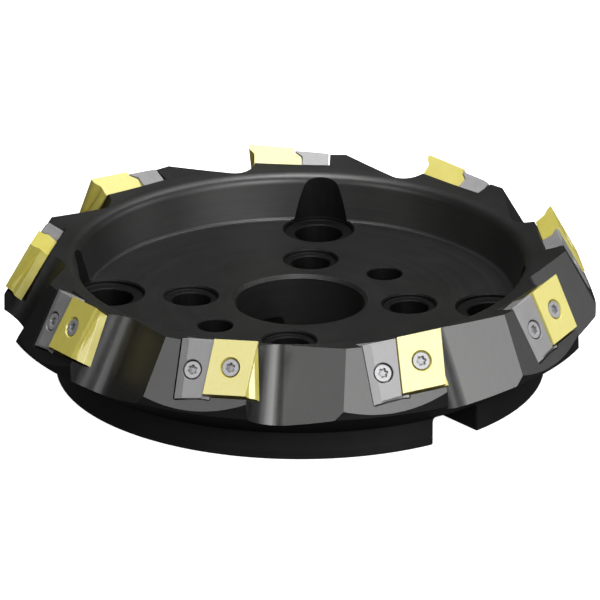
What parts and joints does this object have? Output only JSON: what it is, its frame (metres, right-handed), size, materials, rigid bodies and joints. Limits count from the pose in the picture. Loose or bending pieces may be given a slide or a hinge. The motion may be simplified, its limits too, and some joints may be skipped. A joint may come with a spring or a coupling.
{
  "type": "face mill",
  "caption": "Indexable face mill body with a dished front, a centring bore, bolt seats, drive slots and screwed-in tangential inserts backed by locator blocks.",
  "frame": {"origin": "on the spindle axis, in the plane of the back mounting face, which the cutter rests on", "axes": "+Z along the spindle axis, out of the cutting face; +X along one drive slot, so that the slots lie on +X and -X"},
  "size_m": [0.2734, 0.2746, 0.063],
  "materials": {
    "body_steel": "dark satin, blackened steel with a fine machined grain",
    "insert_coating": "satin gold-coloured ceramic coating on carbide",
    "locator_steel": "ground, pale grey hardened steel",
    "screw_steel": "bright turned steel"
  },
  "bodies": {
    "cutter": {"cutter_body": "body_steel"},
    "insert_1": {"insert_1": "insert_coating"},
    "insert_screw_1": {"insert_screw_1": "screw_steel"},
    "locator_1": {"locator_1": "locator_steel"},
    "locator_screw_1": {"locator_screw_1": "screw_steel"},
    "insert_2": {"insert_2": "insert_coating"},
    "insert_screw_2": {"insert_screw_2": "screw_steel"},
    "locator_2": {"locator_2": "locator_steel"},
    "locator_screw_2": {"locator_screw_2": "screw_steel"},
    "insert_3": {"insert_3": "insert_coating"},
    "insert_screw_3": {"insert_screw_3": "screw_steel"},
    "locator_3": {"locator_3": "locator_steel"},
    "locator_screw_3": {"locator_screw_3": "screw_steel"},
    "insert_4": {"insert_4": "insert_coating"},
    "insert_screw_4": {"insert_screw_4": "screw_steel"},
    "locator_4": {"locator_4": "locator_steel"},
    "locator_screw_4": {"locator_screw_4": "screw_steel"},
    "insert_5": {"insert_5": "insert_coating"},
    "insert_screw_5": {"insert_screw_5": "screw_steel"},
    "locator_5": {"locator_5": "locator_steel"},
    "locator_screw_5": {"locator_screw_5": "screw_steel"},
    "insert_6": {"insert_6": "insert_coating"},
    "insert_screw_6": {"insert_screw_6": "screw_steel"},
    "locator_6": {"locator_6": "locator_steel"},
    "locator_screw_6": {"locator_screw_6": "screw_steel"},
    "insert_7": {"insert_7": "insert_coating"},
    "insert_screw_7": {"insert_screw_7": "screw_steel"},
    "locator_7": {"locator_7": "locator_steel"},
    "locator_screw_7": {"locator_screw_7": "screw_steel"},
    "insert_8": {"insert_8": "insert_coating"},
    "insert_screw_8": {"insert_screw_8": "screw_steel"},
    "locator_8": {"locator_8": "locator_steel"},
    "locator_screw_8": {"locator_screw_8": "screw_steel"},
    "insert_9": {"insert_9": "insert_coating"},
    "insert_screw_9": {"insert_screw_9": "screw_steel"},
    "locator_9": {"locator_9": "locator_steel"},
    "locator_screw_9": {"locator_screw_9": "screw_steel"}
  },
  "joints": [
    {"name": "insert_1_lift", "type": "slide", "parent": "cutter", "child": "insert_1", "axis": [0.8396, 0.2652, 0.4741], "range_m": [0, 0.02]},
    {"name": "insert_screw_1_turn", "type": "hinge", "parent": "insert_1", "child": "insert_screw_1", "pos_m": [0.11606, 0.05701, 0.05066], "axis": [0.8396, 0.2652, 0.4741], "continuous": true},
    {"name": "locator_1_lift", "type": "slide", "parent": "cutter", "child": "locator_1", "axis": [0.8396, 0.2652, 0.4741], "range_m": [0, 0.02]},
    {"name": "locator_screw_1_turn", "type": "hinge", "parent": "locator_1", "child": "locator_screw_1", "pos_m": [0.12329, 0.03975, 0.04752], "axis": [0.8396, 0.2652, 0.4741], "continuous": true},
    {"name": "insert_2_lift", "type": "slide", "parent": "cutter", "child": "insert_2", "axis": [0.4727, 0.7428, 0.4741], "range_m": [0, 0.02]},
    {"name": "insert_screw_2_turn", "type": "hinge", "parent": "insert_2", "child": "insert_screw_2", "pos_m": [0.05226, 0.11828, 0.05066], "axis": [0.4727, 0.7428, 0.4741], "continuous": true},
    {"name": "locator_2_lift", "type": "slide", "parent": "cutter", "child": "locator_2", "axis": [0.4727, 0.7428, 0.4741], "range_m": [0, 0.02]},
    {"name": "locator_screw_2_turn", "type": "hinge", "parent": "locator_2", "child": "locator_screw_2", "pos_m": [0.06889, 0.1097, 0.04752], "axis": [0.4727, 0.7428, 0.4741], "continuous": true},
    {"name": "insert_3_lift", "type": "slide", "parent": "cutter", "child": "insert_3", "axis": [-0.1154, 0.8729, 0.4741], "range_m": [0, 0.02]},
    {"name": "insert_screw_3_turn", "type": "hinge", "parent": "insert_3", "child": "insert_screw_3", "pos_m": [-0.03599, 0.1242, 0.05066], "axis": [-0.1154, 0.8729, 0.4741], "continuous": true},
    {"name": "locator_3_lift", "type": "slide", "parent": "cutter", "child": "locator_3", "axis": [-0.1154, 0.8729, 0.4741], "range_m": [0, 0.02]},
    {"name": "locator_screw_3_turn", "type": "hinge", "parent": "locator_3", "child": "locator_screw_3", "pos_m": [-0.01774, 0.12832, 0.04752], "axis": [-0.1154, 0.8729, 0.4741], "continuous": true},
    {"name": "insert_4_lift", "type": "slide", "parent": "cutter", "child": "insert_4", "axis": [-0.6495, 0.5945, 0.4741], "range_m": [0, 0.02]},
    {"name": "insert_screw_4_turn", "type": "hinge", "parent": "insert_4", "child": "insert_screw_4", "pos_m": [-0.1074, 0.07201, 0.05066], "axis": [-0.6495, 0.5945, 0.4741], "continuous": true},
    {"name": "locator_4_lift", "type": "slide", "parent": "cutter", "child": "locator_4", "axis": [-0.6495, 0.5945, 0.4741], "range_m": [0, 0.02]},
    {"name": "locator_screw_4_turn", "type": "hinge", "parent": "locator_4", "child": "locator_screw_4", "pos_m": [-0.09607, 0.0869, 0.04752], "axis": [-0.6495, 0.5945, 0.4741], "continuous": true},
    {"name": "insert_5_lift", "type": "slide", "parent": "cutter", "child": "insert_5", "axis": [-0.8797, 0.0379, 0.4741], "range_m": [0, 0.02]},
    {"name": "insert_screw_5_turn", "type": "hinge", "parent": "insert_5", "child": "insert_screw_5", "pos_m": [-0.12856, -0.01388, 0.05066], "axis": [-0.8797, 0.0379, 0.4741], "continuous": true},
    {"name": "locator_5_lift", "type": "slide", "parent": "cutter", "child": "locator_5", "axis": [-0.8797, 0.0379, 0.4741], "range_m": [0, 0.02]},
    {"name": "locator_screw_5_turn", "type": "hinge", "parent": "locator_5", "child": "locator_screw_5", "pos_m": [-0.12945, 0.00481, 0.04752], "axis": [-0.8797, 0.0379, 0.4741], "continuous": true},
    {"name": "insert_6_lift", "type": "slide", "parent": "cutter", "child": "insert_6", "axis": [-0.6982, -0.5364, 0.4741], "range_m": [0, 0.02]},
    {"name": "insert_screw_6_turn", "type": "hinge", "parent": "insert_6", "child": "insert_screw_6", "pos_m": [-0.08957, -0.09327, 0.05066], "axis": [-0.6982, -0.5364, 0.4741], "continuous": true},
    {"name": "locator_6_lift", "type": "slide", "parent": "cutter", "child": "locator_6", "axis": [-0.6982, -0.5364, 0.4741], "range_m": [0, 0.02]},
    {"name": "locator_screw_6_turn", "type": "hinge", "parent": "locator_6", "child": "locator_screw_6", "pos_m": [-0.10226, -0.07952, 0.04752], "axis": [-0.6982, -0.5364, 0.4741], "continuous": true},
    {"name": "insert_7_lift", "type": "slide", "parent": "cutter", "child": "insert_7", "axis": [-0.1901, -0.8597, 0.4741], "range_m": [0, 0.02]},
    {"name": "insert_screw_7_turn", "type": "hinge", "parent": "insert_7", "child": "insert_screw_7", "pos_m": [-0.00866, -0.12902, 0.05066], "axis": [-0.1901, -0.8597, 0.4741], "continuous": true},
    {"name": "locator_7_lift", "type": "slide", "parent": "cutter", "child": "locator_7", "axis": [-0.1901, -0.8597, 0.4741], "range_m": [0, 0.02]},
    {"name": "locator_screw_7_turn", "type": "hinge", "parent": "locator_7", "child": "locator_screw_7", "pos_m": [-0.02722, -0.12665, 0.04752], "axis": [-0.1901, -0.8597, 0.4741], "continuous": true},
    {"name": "insert_8_lift", "type": "slide", "parent": "cutter", "child": "insert_8", "axis": [0.407, -0.7808, 0.4741], "range_m": [0, 0.02]},
    {"name": "insert_screw_8_turn", "type": "hinge", "parent": "insert_8", "child": "insert_screw_8", "pos_m": [0.0763, -0.1044, 0.05066], "axis": [0.407, -0.7808, 0.4741], "continuous": true},
    {"name": "locator_8_lift", "type": "slide", "parent": "cutter", "child": "locator_8", "axis": [0.407, -0.7808, 0.4741], "range_m": [0, 0.02]},
    {"name": "locator_screw_8_turn", "type": "hinge", "parent": "locator_8", "child": "locator_screw_8", "pos_m": [0.06056, -0.11451, 0.04752], "axis": [0.407, -0.7808, 0.4741], "continuous": true},
    {"name": "insert_9_lift", "type": "slide", "parent": "cutter", "child": "insert_9", "axis": [0.8136, -0.3365, 0.4741], "range_m": [0, 0.02]},
    {"name": "insert_screw_9_turn", "type": "hinge", "parent": "insert_9", "child": "insert_screw_9", "pos_m": [0.12556, -0.03093, 0.05066], "axis": [0.8136, -0.3365, 0.4741], "continuous": true},
    {"name": "locator_9_lift", "type": "slide", "parent": "cutter", "child": "locator_9", "axis": [0.8136, -0.3365, 0.4741], "range_m": [0, 0.02]},
    {"name": "locator_screw_9_turn", "type": "hinge", "parent": "locator_9", "child": "locator_screw_9", "pos_m": [0.12, -0.0488, 0.04752], "axis": [0.8136, -0.3365, 0.4741], "continuous": true}
  ],
  "couplings": [
    {"joint": "locator_1_lift", "follows": "insert_1_lift", "ratio": 1},
    {"joint": "locator_2_lift", "follows": "insert_2_lift", "ratio": 1},
    {"joint": "locator_3_lift", "follows": "insert_3_lift", "ratio": 1},
    {"joint": "locator_4_lift", "follows": "insert_4_lift", "ratio": 1},
    {"joint": "locator_5_lift", "follows": "insert_5_lift", "ratio": 1},
    {"joint": "locator_6_lift", "follows": "insert_6_lift", "ratio": 1},
    {"joint": "locator_7_lift", "follows": "insert_7_lift", "ratio": 1},
    {"joint": "locator_8_lift", "follows": "insert_8_lift", "ratio": 1},
    {"joint": "locator_9_lift", "follows": "insert_9_lift", "ratio": 1}
  ]
}
